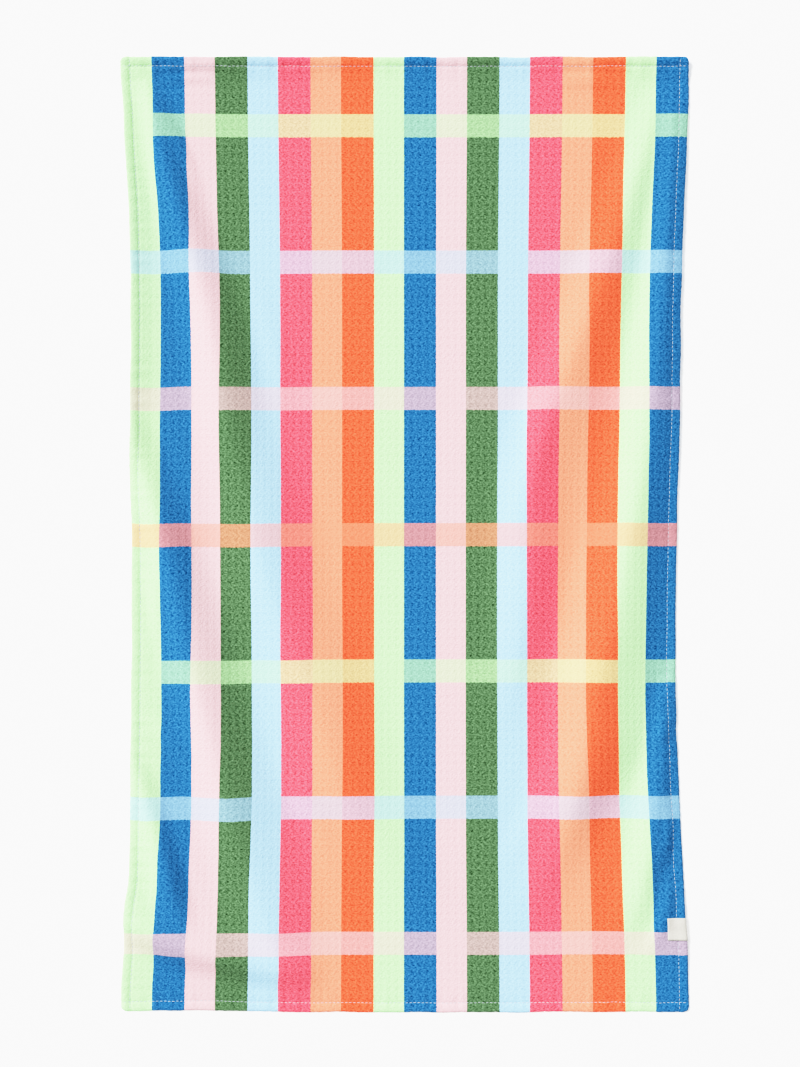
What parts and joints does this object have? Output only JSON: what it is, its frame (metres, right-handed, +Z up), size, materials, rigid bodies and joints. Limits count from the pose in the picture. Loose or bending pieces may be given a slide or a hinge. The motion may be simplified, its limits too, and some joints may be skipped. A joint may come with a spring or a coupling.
{
  "type": "tea towel",
  "caption": "Striped waffle tea towel lying unfolded and face up in soft drag folds, hemmed on four sides, with a small bare label on its right edge.",
  "frame": {"origin": "middle of the towel's outline, on the surface that it lies on", "axes": "+X to the towel's right edge, +Y to its top edge, +Z up from the surface"},
  "size_m": [0.4172, 0.7, 0.0124],
  "materials": {
    "towel_fabric": "matt waffle weave, printed",
    "label_ribbon": "matt woven ribbon"
  },
  "bodies": {
    "root": {"towel_cloth": "towel_fabric", "side_label": "label_ribbon"}
  },
  "joints": []
}
